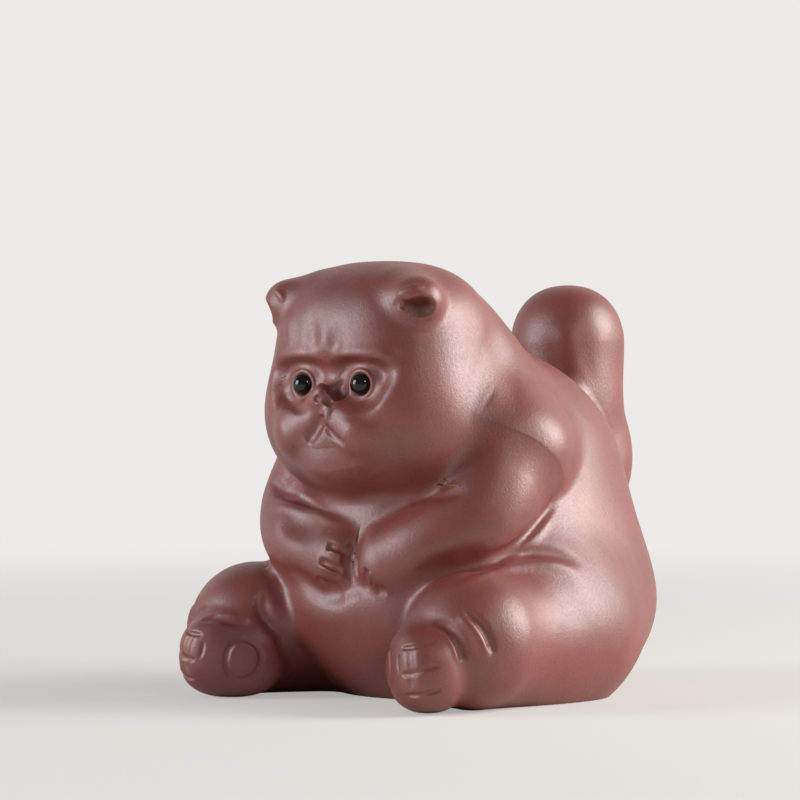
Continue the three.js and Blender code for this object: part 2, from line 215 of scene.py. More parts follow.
def side_of(field, y, z, sunk=0.0):
    """The point on the left of a field at y and z, sunk into it."""
    return np.array([ray_length(field, (0, y, z), (1, 0, 0))[0] - sunk, y, z])


socket_dent = lump(front_of(bare_head, EYE_X, EYE_Z, -1.5), SOCKET)


def head(p):
    """The head with its two eye sockets."""
    d = dented(bare_head(p), socket_dent(p), SOCKET_BLEND)
    return dented(d, socket_dent(p * MIRROR), SOCKET_BLEND)


EYE_SEAT = front_of(head, EYE_X, EYE_Z, EYE_SUNK)
NOSE_Z, CHIN_Z = 62.4, 51
nose = lump(front_of(head, 0, NOSE_Z, 0.8), (6.4, 6, 5.4), 2.2)
pad_knots = [(*front_of(head, 3.3, 58.6, 3.4), 4.0), (*front_of(head, 8, 55.6, 3.4), 5.4)]
pad = roll(pad_knots)
chin = roll([(*front_of(head, 0, CHIN_Z, 4.6), 5.6), (*front_of(head, 0, 54.6, 3.3), 3.0)])
EAR_TURN, FOOT_TURN = 35, 40
EAR_AT = side_of(head, 10, 82.2, 0.1)
ear_lobe = lump(EAR_AT, (9.6, 8, 8.4), 2.0, EAR_TURN)
ear_root = roll([(*EAR_AT, 4.2), (12, 12.5, 82.8, 4.2)])


def ear(p):
    """The left ear: its lobe on a root that runs into the head."""
    return joined(ear_lobe(p), ear_root(p), 3.0)


HIP_AT = side_of(torso, 43, 13, 12)
KNEE_AT = np.array([29.5, 13, 13.8])
hip = lump(HIP_AT, (32, 44, 30))
leg_knots = [(*HIP_AT, 14.0), (*KNEE_AT, 14.0)]
leg = roll(leg_knots)

FOOT_AT = np.array([26.4, 2.2, 8.8])
foot = lump(FOOT_AT, (22, 15, 17.6), 2.5, -FOOT_TURN)
TOEWARD = np.array([np.cos(radians(FOOT_TURN)), -np.sin(radians(FOOT_TURN)), 0])
OUT_OF_SOLE = np.array([-np.sin(radians(FOOT_TURN)), -np.cos(radians(FOOT_TURN)), 0])
SOLE_PAD_AT = FOOT_AT - 2.5 * TOEWARD + 6.0 * OUT_OF_SOLE
sole_pad = lump(SOLE_PAD_AT, (7.8, 3, 7.8), 2.0, -FOOT_TURN)

# Shoulder, elbow, wrist and paw. The paws meet beside the middle, on the cat's left
PAW_X, PAWS_MEET = 6.2, 3.4
to_wrist = [(*side_of(torso, 31, 50, 4.5), 12.5), (*side_of(torso, 22.5, 38.5, 1.9), 10.0),
            (*front_of(torso, 17, 32.5, 3.5), 8.8)]
left_arm_knots = to_wrist + [(*front_of(torso, PAW_X + PAWS_MEET, 28.8, 5.2), 8.6)]
right_arm_knots = to_wrist + [(*front_of(torso, PAW_X - PAWS_MEET, 28.8, 5.2), 8.6)]
left_arm, right_arm_turned = roll(left_arm_knots), roll(right_arm_knots)

# The tail stands a little proud of the rump
RUMP_Y, TAIL_PROUD = 54.3, 1.2
TAIL_Y = RUMP_Y + ray_length(torso, (0, RUMP_Y, 49), (0, 1, 0))[0] + TAIL_PROUD
tail_knots = [(0, TAIL_Y - 11, 33, 12.4), (0, TAIL_Y, 49, 12.5),
              (0, TAIL_Y - 2.8, 64, 10.6), (0, TAIL_Y - 3.4, 75.4, 11.6)]
tail = roll(tail_knots)
# The tail's tip is a soft block, flat on top, and a roll fills the tail's body side
tail_tip = lump((0, TAIL_Y - 3.5, 70), (22.5, 21, 32.8), 2.7)
tail_front = roll([(0, TAIL_Y - 5, 72, 8.6), (1.5, TAIL_Y - 5.5, 62, 9.8), (0.5, TAIL_Y - 9, 46, 11)])


def thigh(p):
    """The left thigh: the hip's round form and the roll to the knee."""
    return joined(hip(p), leg(p), 12.0)


def full_tail(p):
    """The tail with its soft tip and the roll on its body side."""
    return joined(joined(tail(p), tail_tip(p), 4.0), tail_front(p), 4.0)


def mirrored(field):
    """The field of the same form on the cat's right."""
    return lambda p: field(p * MIRROR)


def turned_round(count):
    """Angles of count equal steps round a circle."""
    return np.linspace(0, 2 * np.pi, count, endpoint=False)


def closed_loop(points, radius):
    """Path rows x, y, z, radius of a loop that comes back to its start."""
    points = np.array(points, float)
    return np.c_[np.vstack([points, points[:1]]), np.full(len(points) + 1, radius)]


# The opening of the eye: an oval on the face, a little longer outward, and the thin lid rolled round it
LOOP = turned_round(40)
LID_X = EYE_X + 0.1 + 2.85 * np.cos(LOOP)
LID_Z = EYE_Z + 2.7 * np.sin(LOOP)
LID_RADIUS, LID_SUNK = 0.45, 0.1
EYE_HOLLOW_BLEND = 2.6
eye_hollow = lump(EYE_SEAT + np.array([0.5, -2.75, 0]), (13, 5, 10))


def hollow_face(p):
    """The head with a shallow hollow round the left eye."""
    return dented(head(p), eye_hollow(p), EYE_HOLLOW_BLEND)


lid_path = closed_loop([front_of(hollow_face, x, z, LID_SUNK) for x, z in zip(LID_X, LID_Z)], LID_RADIUS)


def eyelid(p):
    """The coil round the left bead."""
    return along_path(p, lid_path)[0]


# The gap between the paws, and how round their ends are
PAW_GAP, PAW_EDGE = 0.1, 3.2


def paw_side(field, side):
    """An arm's field ended at the plane where the paws meet, with a round edge."""
    return lambda p: dented(field(on_side(p, side)), side * (p[:, 0] - PAWS_MEET) - PAW_GAP, PAW_EDGE)


def by_depth(narrow, wide, start, span):
    """A fillet that opens from narrow to wide along +Y."""
    return lambda p: narrow + (wide - narrow) * ease((p[:, 1] - start) / span)


def by_height(narrow, wide, start, span):
    """A fillet that opens from narrow to wide along +Z."""
    return lambda p: narrow + (wide - narrow) * ease((p[:, 2] - start) / span)


def cheek_fillet(p):
    """The head's fillet in mm: thin at the chest, wider at the nape, and widest where the cheek runs into
    the shoulder, about y 25 and z 60."""
    cheek = np.exp(-((p[:, 1] - 25) / 6) ** 2 - ((p[:, 2] - 60) / 10) ** 2)
    return 3.4 + 1.6 * ease((p[:, 1] - 28) / 12) + 3.0 * cheek


def shoulder_fillet(p):
    """The arm's fillet in mm: thin at the belly, wide at the back, and widest where the shoulder runs into
    it, about y 36 and z 53."""
    shoulder = np.exp(-((p[:, 1] - 36) / 10) ** 2 - ((p[:, 2] - 53) / 9) ** 2)
    return 2.0 + 10.0 * ease((p[:, 2] - 37) / 22) + 8.0 * shoulder


def even(width):
    """A fillet of one width."""
    return lambda p: width


# Each part of the clay figure: its field, the fillet that lutes it on, and the box that its fillet stays in
LEFT_PARTS = [
    ("left_thigh", thigh, by_depth(3.0, 8.0, 22, 16), (7, -10, -8), (53, 76, 40)),
    ("left_foot", foot, even(2.4), (11, -12, -5), (42, 16, 23)),
    ("left_sole_pad", sole_pad, even(0.8), (14, -9, 1), (27, 5, 16)),
    ("left_arm", paw_side(left_arm, 1), shoulder_fillet, (-3, -3, 14), (50, 60, 80)),
    ("tail", full_tail, even(3.0), (-17, 60, 15), (17, 106, 95)),
    ("head_shell", head, cheek_fillet, (-34, -8, 34), (34, 54, 102)),
    ("left_ear", ear, by_height(2.4, 5.0, 78, 10), (5, 0, 72), (29, 21, 93)),
    ("left_eyelid", eyelid, even(0.7), (1, -4, 59), (15, 8, 72)),
    ("nose", nose, even(1.6), (-6, -5, 56), (6, 8, 68)),
    ("left_whisker_pad", pad, even(2.8), (-3, -6, 46), (17, 14, 66)),
    ("chin", chin, by_height(7.0, 2.5, 48, 9), (-14, -9, 38), (14, 18, 66)),
]
TURNED = {"left_arm": paw_side(right_arm_turned, -1)}


def both_sides(parts):
    """The list with a right part after each left one: its mirror image, or its own field where it has one."""
    for name, field, blend, low, high in parts:
        yield name, field, blend, np.array(low), np.array(high)
        if name.startswith("left_"):
            right = TURNED.get(name, mirrored(field))
            right_low, right_high = np.array((-high[0], *low[1:])), np.array((-low[0], *high[1:]))
            yield name.replace("left", "right"), right, blend, right_low, right_high


PARTS = list(both_sides(LEFT_PARTS))

# The cup of the ear opens to the front and a little outward
OUT_OF_EAR = np.array([np.sin(radians(EAR_TURN)), -np.cos(radians(EAR_TURN)), 0])
ear_cup = lump(EAR_AT + 4.0 * OUT_OF_EAR + np.array([0.6, 0.5, -1.3]), (5.6, 7.0, 3.9), 2.0, EAR_TURN)
HOLLOW_REACH = 12.0
HOLLOWS = ((ear_cup, EAR_AT, 1.0), (eye_hollow, EYE_SEAT, EYE_HOLLOW_BLEND))


def press_hollows(d, p):
    """Presses the hollows of the ears and round the eyes into the field values d at points p."""
    for flip in (1.0, MIRROR):
        for field, middle, blend in HOLLOWS:
            near = ((p - middle * flip) ** 2).sum(1) < HOLLOW_REACH ** 2
            if near.any():
                d[near] = dented(d[near], field(p[near] * flip), blend)


def smooth_figure(p):
    """The figure's field at points p before lines are worked into it, the body's, and each part's, which
    is infinite outside the part's box."""
    body = torso(p)
    d = body.copy()
    own = {}
    for name, field, blend, low, high in PARTS:
        if name == "left_eyelid":
            # The lids lie in the hollows, so these are pressed in before them
            press_hollows(d, p)
        near = ((p > low) & (p < high)).all(1)
        value = np.full(len(p), np.inf)
        if near.any():
            q = p[near]
            value[near] = field(q)
            d[near] = joined(d[near], value[near], blend(q))
        own[name] = value
    return d, body, own


def slope(field, points, step=0.04):
    """Unit slope at points of the first value that a field gives, over the corners of a small tetrahedron."""
    total = np.zeros_like(points)
    for corner in ((1, -1, -1), (-1, -1, 1), (-1, 1, -1), (1, 1, 1)):
        total += np.array(corner) * field(points + step * np.array(corner))[0][:, None]
    return total / np.maximum(np.linalg.norm(total, axis=1), 1e-9)[:, None]


class Stroke:
    """A soft line worked into the skin along a path: depth times exp(-(distance / width)^2), fading at
    its ends. Farther than reach from its middle it is left out."""

    SKIRT = 2.4

    def __init__(self, points, width, depth, fade):
        self.path = smooth_path(np.c_[points, np.zeros(len(points))], 6)
        self.width, self.depth, self.fade = width, depth, fade
        self.middle = self.path[:, :3].mean(0)
        self.reach = np.linalg.norm(self.path[:, :3] - self.middle, axis=1).max() + self.SKIRT * width

    def __call__(self, p):
        away, t = along_path(p, self.path)
        ends = ease(t / self.fade) * ease((1 - t) / self.fade) if self.fade else 1.0
        return self.depth * np.exp(-(away / self.width) ** 2) * ends


# The photograph is taken from 40 degrees round to the cat's left, by a lens level with the nose. Its axes
# are right, away from the lens and up. Then the lens's place and focal length, the width of its film, and
# the photograph's side in pixels
VIEW_TURN = 40
RIGHT = np.array([np.cos(radians(VIEW_TURN)), np.sin(radians(VIEW_TURN)), 0])
AWAY = np.array([-np.sin(radians(VIEW_TURN)), np.cos(radians(VIEW_TURN)), 0])
UP = np.array([0, 0, 1.0])
LENS_AT = np.array([432.9, -490.4, 62.1])
FOCAL_LENGTH, FILM, PICTURE = 144.6, 36.0, 800
# A ray from the lens: where it starts, the share of the distance left that it steps, its shortest and
# longest step, its most steps, and how far back from its first place inside the skin is looked for
RAY_START, RAY_SHARE, RAY_STEP, RAY_STEPS, RAY_BACK = 560.0, 0.7, (0.15, 3.0), 1200, 0.6


def seen_at(pixels):
    """Where pixels x, y of the photograph lie on the smooth figure. A pixel's ray runs along AWAY
    times the focal length in pixels + RIGHT x - UP y, both from the picture's middle, until it is inside.
    Then the skin is found by halving."""
    x, y = (pixels - PICTURE / 2).T[:, :, None]
    way = AWAY * (FOCAL_LENGTH / FILM * PICTURE) + RIGHT * x - UP * y
    way /= np.linalg.norm(way, axis=1)[:, None]
    run = np.full(len(way), RAY_START)
    inside = np.zeros(len(way), bool)
    for _ in range(RAY_STEPS):
        gap = smooth_figure(LENS_AT + way * run[:, None])[0]
        inside |= gap < 0
        if inside.all():
            break
        run = np.where(inside, run, run + np.clip(gap * RAY_SHARE, *RAY_STEP))
    near, out = run - RAY_BACK, run
    for _ in range(20):
        mid = (near + out) / 2
        within = smooth_figure(LENS_AT + way * mid[:, None])[0] < 0
        near, out = np.where(within, near, mid), np.where(within, mid, out)
    return LENS_AT + way * out[:, None]


LINES = []
ONE, BOTH = (1,), (1, -1)
# A line this broad has its places to half a millimetre, and a finer one to a tenth
BROAD = 0.9


def carve(name, sides, width, depth, fade, *places):
    """A line worked with the modelling tool: its half width and its depth in mm (under 0: raised), the
    share of it over which it fades at each end, and the places that it runs through, each either a pixel
    x, y of the photograph or x, y, z in mm near the skin. BOTH gives the right side its mirror image. The
    name is for the reader."""
    LINES.append((np.array(places, float), sides, width, depth, fade))


# Brow and forehead
carve("under the brow", BOTH, 2.6, 2.2, 0.35, (316, 369.5), (335, 370.5), (360, 371.5), (382, 373),
      (402, 375))
carve("brow", BOTH, 2.2, -0.9, 0.3, (322, 356), (345, 355), (365, 355), (385, 357), (402, 361))
carve("frown, right", ONE, 1.7, 0.4, 0.5, (311, 306), (312, 335), (315, 366))
carve("frown, middle", ONE, 1.6, -0.25, 0.5, (324, 318), (325, 345), (326, 366))
carve("frown, left", ONE, 1.8, 0.4, 0.5, (338, 318), (336, 345), (335, 366))
carve("temple, right", ONE, 1.8, -0.45, 0.4, (288, 310), (289, 330), (290, 352))
# Ears
carve("fold of the left ear", ONE, 0.9, 0.9, 0.35, (392, 303), (402, 304.5), (416, 308), (430, 312))
carve("rim of the left ear", ONE, 0.8, -0.5, 0.35, (395, 299), (403, 292), (414, 287.5), (426, 287))
carve("fold of the right ear", ONE, 0.7, -0.6, 0.35, (273, 289), (279, 293), (285, 303))
# Round the eyes
carve("inner corner, left", ONE, 1.8, 2.2, 0.3, (334, 381), (340, 390), (347, 398))
carve("inner corner, right", ONE, 1.1, 1.0, 0.4, (-4.6, 2.3, 65.6), (-3.6, 1.6, 64.4))
carve("outer corner, left", ONE, 1.0, -0.3, 0.4, (369, 381), (373, 383))
carve("under the eye, right", ONE, 1.1, 0.8, 0.4, (280, 391), (289, 399), (300, 409), (313, 407))
carve("lower lid, right", ONE, 0.5, -0.4, 0.4, (292, 394), (300.5, 400), (311, 396.5))
# Nose
carve("bridge", ONE, 1.3, -0.7, 0.35, (322.5, 379), (321, 387), (320.5, 397))
carve("nostril, right", ONE, 0.55, 1.1, 0.4, (315.5, 395), (318.5, 402.5))
carve("nostril, left", ONE, 0.8, 1.2, 0.4, (331, 397.5), (325, 405.5))
# Mouth
carve("below the nose", ONE, 0.6, 1.0, 0.3, (322.3, 414), (322.5, 420), (322.5, 429))
carve("right branch", ONE, 1.1, 1.8, 0.35, (321.5, 415), (318, 424), (312, 434), (306, 443))
carve("left branch", ONE, 0.6, 1.3, 0.3, (323, 423), (331, 433.5), (338, 440), (346, 445))
carve("pad's rim", ONE, 1.1, -0.4, 0.4, (334, 407), (328, 413), (326, 421), (330, 428))
carve("beside the left pad", ONE, 2.6, 0.6, 0.45, (350, 400), (358, 414), (359, 430))
# Neck and chest
carve("neck fold", ONE, 1.3, 0.8, 0.4, (271, 478), (282, 490), (300, 497))
carve("neck band", ONE, 1.4, -0.45, 0.4, (287, 477), (298, 486), (320, 492))
carve("shoulder band", ONE, 1.3, -0.4, 0.4, (266, 489), (276, 497), (294, 502))
carve("ruff", ONE, 0.6, 0.08, 0.5, (25.4, 26.8, 65.8), (26.3, 22, 62.1), (25.7, 18.5, 57.8))
# Left arm
carve("elbow fold", ONE, 1.4, 0.6, 0.45, (405, 503), (425, 499), (447, 496), (475, 491))
carve("forearm valley", ONE, 2.4, 1.0, 0.35, (414, 566), (440, 566), (468, 560), (490, 547))
carve("crease below", ONE, 1.1, 0.75, 0.3, (15.5, 7, 26.5), (21.5, 9.5, 28), (26.5, 14.5, 28.5),
      (30.5, 21, 31), (32, 28.5, 35), (31, 37, 41), (32.5, 37.5, 47))
carve("rim below", ONE, 1.1, -0.4, 0.3, (480, 570), (511, 557), (535, 538), (555, 508))
# Left thigh
carve("crease above", ONE, 1.6, 0.9, 0.3, (432, 592), (467, 575), (508, 557), (556, 555), (586, 568))
carve("rim", ONE, 1.7, -0.6, 0.3, (434, 600), (466, 584), (509, 566), (556, 565), (586, 577))
# Right arm
carve("crease above", ONE, 1.0, 0.45, 0.35, (268, 503), (287, 498), (312, 506), (340, 516))
carve("rim", ONE, 1.4, -0.7, 0.35, (266, 513), (282, 505.5), (306, 512), (330, 520.5), (350, 528))
carve("hollow", ONE, 2.6, 1.4, 0.45, (278, 520), (300, 525), (322, 534))
# Paws
carve("right, first finger", ONE, 0.6, 1.9, 0.25, (326, 545), (338, 548.3), (350, 550.5))
carve("its rim", ONE, 0.5, -0.4, 0.3, (328, 550), (336, 554), (344, 557.5))
carve("right, second finger", ONE, 0.65, 1.8, 0.25, (318, 560), (331, 566.5), (344, 572))
carve("its rim", ONE, 0.5, -0.4, 0.3, (320, 565), (328.5, 570.3), (337, 575))
carve("right, third finger", ONE, 0.8, 1.3, 0.3, (315, 577), (325, 586), (335, 592.5))
carve("between the paws", ONE, 0.9, 1.9, 0.25, (358, 542), (353, 550), (349.5, 560), (349, 572),
      (351, 586))
carve("left, second finger", ONE, 0.55, 1.4, 0.3, (357.5, 555), (355.5, 566), (356.5, 578))
carve("left, third finger", ONE, 0.7, 2.0, 0.25, (367, 568), (365, 580), (364.5, 592))
carve("its rim", ONE, 0.5, -0.4, 0.3, (370.2, 570), (369, 579), (368.5, 589))
carve("below the left paw", ONE, 0.9, 1.0, 0.3, (374, 590), (380, 591.5), (387, 591))
carve("below the right paw", ONE, 2.2, 1.0, 0.4, (318, 586), (330, 589.5), (342, 588))
# Belly
carve("upper edge", ONE, 2.0, 0.9, 0.3, (275, 570), (293, 572), (306, 582), (322, 592), (337, 594),
      (356, 586), (377, 592), (402, 597))
carve("its roll", ONE, 3.8, -0.3, 0.35, (285, 596), (300, 600), (318, 616), (338, 621), (360, 612),
      (385, 616))
carve("right edge", ONE, 1.4, 1.6, 0.25, (266, 586), (263, 604), (269, 621), (279, 634), (285, 650),
      (293, 670))
carve("its roll", ONE, 3.0, -0.5, 0.3, (279, 592), (278, 608), (285, 622), (296, 636), (303, 652))
carve("hip flap", ONE, 1.1, -0.5, 0.4, (-24.5, 11.5, 27), (-22.5, 10.5, 26), (-20, 9, 23.5))
# Feet
carve("first toe", BOTH, 0.4, 1.1, 0.25, (400, 648.4), (413, 647), (424.4, 643.5), (437, 642))
carve("second toe", BOTH, 0.4, 1.1, 0.25, (401, 674.8), (413, 673.4), (426, 668.6), (442, 665.8))
carve("third toe", BOTH, 0.4, 1.1, 0.25, (405, 695), (419.7, 694.9), (430.8, 692.5), (443, 688.7))
carve("across the toes", BOTH, 0.9, 0.4, 0.25, (409, 644), (409.5, 658), (411.5, 676), (412, 694))
carve("toe pads", BOTH, 0.45, 0.35, 0.4, (399.2, 653), (397.5, 663), (400, 676))
carve("sole's edge", BOTH, 0.9, 1.2, 0.25, (432, 621.5), (446.5, 627.5), (456, 637), (461.5, 649),
      (463.5, 664))
carve("its rim", BOTH, 0.7, -0.4, 0.3, (433, 627.5), (444, 633), (451, 642), (456, 654), (459, 668))
carve("ankle roll", BOTH, 1.1, -0.8, 0.25, (455, 612.5), (469, 625), (478.5, 638.3), (484, 651),
      (486, 664))
carve("ankle fold", BOTH, 0.8, 1.2, 0.25, (462, 609.5), (478, 623), (488, 638), (493.5, 656.5))
carve("top of the right foot", ONE, 0.9, 1.2, 0.3, (-30, -4.5, 16.5), (-26.5, -3, 16.5), (-22, -1, 16),
      (-20, 1.5, 16))
carve("its rim", ONE, 0.7, -0.4, 0.35, (214, 613.5), (240, 617))
# Tail
carve("edge between its two faces", ONE, 2.4, -0.6, 0.3, (5.5, 74, 81.5), (8, 73.5, 74), (9, 75.5, 66.5),
      (9.5, 78.5, 59.5))

# The ring round the ball of each sole
RING = np.linspace(0, 2 * np.pi, 25)[:, None]
SOLE_RING = SOLE_PAD_AT - 0.8 * UP + 3.4 * np.cos(RING) * TOEWARD + 3.6 * np.sin(RING) * UP
carve("ball of the left sole", ONE, 0.5, 0.35, 0, *SOLE_RING)
carve("ball of the right sole", ONE, 0.5, 0.9, 0, *(SOLE_RING * MIRROR))


def in_mm(lines):
    """The lines of each side with their places in mm."""
    in_pixels = [line[0] for line in lines if line[0].shape[1] == 2]
    ends = np.cumsum([len(path) for path in in_pixels])[:-1]
    seen = iter(np.split(seen_at(np.vstack(in_pixels)), ends))
    for path, sides, *form in lines:
        if path.shape[1] == 2:
            parts = 2 if form[0] >= BROAD else 10
            path = np.round(next(seen) * parts) / parts
        for side in sides:
            yield on_side(path, side), *form


def worked():
    """The lines as strokes, with their places brought onto the skin."""
    lines = list(in_mm(LINES))
    points = np.vstack([line[0] for line in lines])
    for _ in range(4):
        points = points - slope(smooth_figure, points) * np.clip(smooth_figure(points)[0], -2, 2)[:, None]
    cuts = np.cumsum([len(line[0]) for line in lines])[:-1]
    return [Stroke(q, *line[1:]) for q, line in zip(np.split(points, cuts), lines)]


STROKES = worked()

# Lines end this far from a bead's middle, and fade in over this much more, on the front of the face
LID_CLEAR, LID_FADE, FACE_DEPTH = 2.8, 3.2, 8


def clear_of_lids(p):
    """1 away from the eyes and 0 on the lids round the beads, so that no line cuts into them."""
    x, z = np.abs(p[:, 0]) - EYE_X, p[:, 2] - EYE_Z
    away = ease((np.hypot(x, z) - LID_CLEAR) / LID_FADE)
    return np.where(p[:, 1] < EYE_SEAT[1] + FACE_DEPTH, away, 1.0)


def whole(p):
    """The finished figure's field at points p, the body's, and each part's own field there."""
    d, body, own = smooth_figure(p)
    middle = p.mean(0)
    spread = np.sqrt(((p - middle) ** 2).sum(1).max())
    lids = clear_of_lids(p)
    for stroke in STROKES:
        if np.linalg.norm(stroke.middle - middle) < stroke.reach + spread:
            near = ((p - stroke.middle) ** 2).sum(1) < stroke.reach ** 2
            if near.any():
                d[near] += stroke(p[near]) * lids[near]
    # Flat underside, a little higher inside the rim, where the base slab shows
    return np.maximum(d, SLAB_INSET * (body < SLAB_EDGE) - p[:, 2]), body, own


# How far a part's skin runs on under its neighbours and how far out it sinks, and a part's field value
# outside its box
OVERLAP, SINK_END, OUT_OF_REACH = 2.0, 3, 50.0
# The skin leaves a cone open over the hole of the base slab: its height, the height of its tip, its slope
BORE_HEIGHT, BORE_TIP, BORE_SLOPE = 14, 34, 0.26


def sink(beyond):
    """How deep a part's skin runs under its neighbour's, beyond the line where the neighbour takes over."""
    beyond = np.clip(beyond, 0, SINK_END)
    return 0.05 * beyond + 0.1 * beyond ** 2


def part_skin(name):
    """Field of one part's own piece: the finished figure where the part is the nearest one, closed off
    under its neighbours."""

    def field(p):
        d, body, own = whole(p)
        if name in ("belly_shell", "back_shell"):
            mine = body
            rest = np.minimum.reduce(list(own.values()))
            past_seam = (p[:, 1] - SEAM_Y) * (1 if name == "belly_shell" else -1)
        else:
            mine = own[name]
            rest = np.minimum.reduce([body] + [v for k, v in own.items() if k != name])
            past_seam = np.full(len(p), -1.0)
            mine = np.where(np.isfinite(mine), mine, OUT_OF_REACH)
        beyond = mine - rest
        d = np.maximum(d + sink(beyond) + sink(past_seam), np.minimum(mine, beyond - OVERLAP))
        d = np.maximum(d, past_seam - 3 * OVERLAP)
        if name == "back_shell":
            off_vent = np.hypot(p[:, 0] - VENT_AT[0], p[:, 1] - VENT_AT[1])
            cone = off_vent - (BORE_TIP - p[:, 2]) * BORE_SLOPE
            d = np.maximum(d, -np.maximum(cone, p[:, 2] - BORE_HEIGHT))
        return d

    return field


BATCH = 8000


def skin_points(name, centres, ways, far):
    """Where rays leave a part's skin, and the skin's normals there, both shaped (rows, around, 3). The rays
    go in batches, so that each batch passes over the strokes that are far from it."""
    start = np.broadcast_to(centres, ways.shape).reshape(-1, 3)
    way = ways.reshape(-1, 3)
    batches = [slice(i, i + BATCH) for i in range(0, len(way), BATCH)]
    exits = [cast(part_skin(name), own_field(name), start[b], way[b], far) for b in batches]
    normals = [slope(whole, points) for points in exits]
    return np.concatenate(exits).reshape(ways.shape), np.concatenate(normals).reshape(ways.shape)


def own_field(name):
    """The bare field of the part, which its skin stays near."""
    if name in ("belly_shell", "back_shell"):
        return torso
    return next(part[1] for part in PARTS if part[0] == name)


# How far before and after the bare part's own surface its finished skin is looked for
SKIN_BEFORE, SKIN_AFTER = 7, 5


def cast(field, bare, start, way, far):
    """The exit from a field: by halving on the bare part, then on the field in a span about that place,
    by halving and by false position."""
    bare_exit = ray_length(bare, start, way, far, 10)
    near, out = np.maximum(bare_exit - SKIN_BEFORE, 0), bare_exit + SKIN_AFTER
    near = np.where(field(start + way * near[:, None]) < 0, near, 0)
    for _ in range(5):
        mid = (near + out) / 2
        inside = field(start + way * mid[:, None]) < 0
        near, out = np.where(inside, mid, near), np.where(inside, out, mid)
    low, high = field(start + way * near[:, None]), field(start + way * out[:, None])
    for _ in range(2):
        share = np.clip(low / np.minimum(low - high, -1e-9), 0.02, 0.98)
        mid = near + (out - near) * share
        value = field(start + way * mid[:, None])
        inside = value < 0
        low, high = np.where(inside, value, low), np.where(inside, high, value)
        near, out = np.where(inside, mid, near), np.where(inside, out, mid)
    share = np.clip(low / np.minimum(low - high, -1e-9), 0, 1)
    return start + way * (near + (out - near) * share)[:, None]


def frame_round(axis):
    """An axis made a unit vector, and two more that are square to it and to each other."""
    axis = np.array(axis, float) / np.linalg.norm(axis)
    other = np.array([0, 0, 1.0]) if abs(axis[2]) < 0.8 else np.array([1.0, 0, 0])
    a = np.cross(other, axis)
    a /= np.linalg.norm(a)
    return axis, a, np.cross(axis, a)


def ball_rays(middle, pole, around, rows, crowd=0.0):
    """Rays from one middle: rows from pole to pole, closer together at the first pole as crowd goes from 0
    to 1."""
    axis, a, b = frame_round(pole)
    t = np.linspace(0, 1, rows)
    tilt = np.pi * ((1 - crowd) * t + crowd * t ** 2)
    turn = turned_round(around)
    ring = np.cos(turn)[:, None] * a + np.sin(turn)[:, None] * b
    ways = np.cos(tilt)[:, None, None] * axis + np.sin(tilt)[:, None, None] * ring[None]
    return np.array(middle, float), ways


def path_rays(path, around, along, cap):
    """Rays square to a path, carried along it without twist, with a fan of rays round each end."""
    steps = np.linspace(0, len(path) - 1, along)
    row = np.minimum(steps.astype(int), len(path) - 2)
    share = (steps - row)[:, None]
    centres = path[row, :3] * (1 - share) + path[row + 1, :3] * share
    axes = np.gradient(centres, axis=0)
    axes /= np.linalg.norm(axes, axis=1)[:, None]
    side = frame_round(axes[0])[1]
    sides = []
    for axis in axes:
        side = side - axis * (side @ axis)
        side /= np.linalg.norm(side)
        sides.append(side)
    sides = np.array(sides)
    ups = np.cross(axes, sides)
    tilt = np.linspace(np.pi / 2, 0, cap, endpoint=False)
    first, last = np.zeros(cap, int), np.full(cap, along - 1)
    pick = np.concatenate([first, np.arange(along), last])
    lean = np.concatenate([-tilt, np.zeros(along), tilt[::-1]])
    turn = turned_round(around)[None, :, None]
    ring = np.cos(turn) * sides[pick][:, None] + np.sin(turn) * ups[pick][:, None]
    ways = np.cos(lean)[:, None, None] * ring + np.sin(lean)[:, None, None] * axes[pick][:, None]
    return centres[pick][:, None], ways


def poled(grid):
    """A grid's points with its first and last rows each shrunk to one."""
    return np.vstack([grid[0].mean(0), grid[1:-1].reshape(-1, 3), grid[-1].mean(0)])


def turn_outward(mesh):
    """Turns the faces outward: a . (b x c) summed over the triangles is six times the volume inside."""
    mesh.calc_loop_triangles()
    corners = np.empty(len(mesh.loop_triangles) * 3, np.int32)
    mesh.loop_triangles.foreach_get("vertices", corners)
    points = np.empty(len(mesh.vertices) * 3)
    mesh.vertices.foreach_get("co", points)
    a, b, c = points.reshape(-1, 3)[corners.reshape(-1, 3)].transpose(1, 0, 2)
    if (a * np.cross(b, c)).sum() < 0:
        mesh.flip_normals()


def placed(name, data):
    """An object of that name with its data, linked to the scene."""
    piece = bpy.data.objects.new(name, data)
    bpy.context.scene.collection.objects.link(piece)
    return piece


def to_frame(points):
    """Points from the modeller's place in mm to the frame's in metres."""
    return (points + np.array([0, MOVE_Y, 0])) * MM


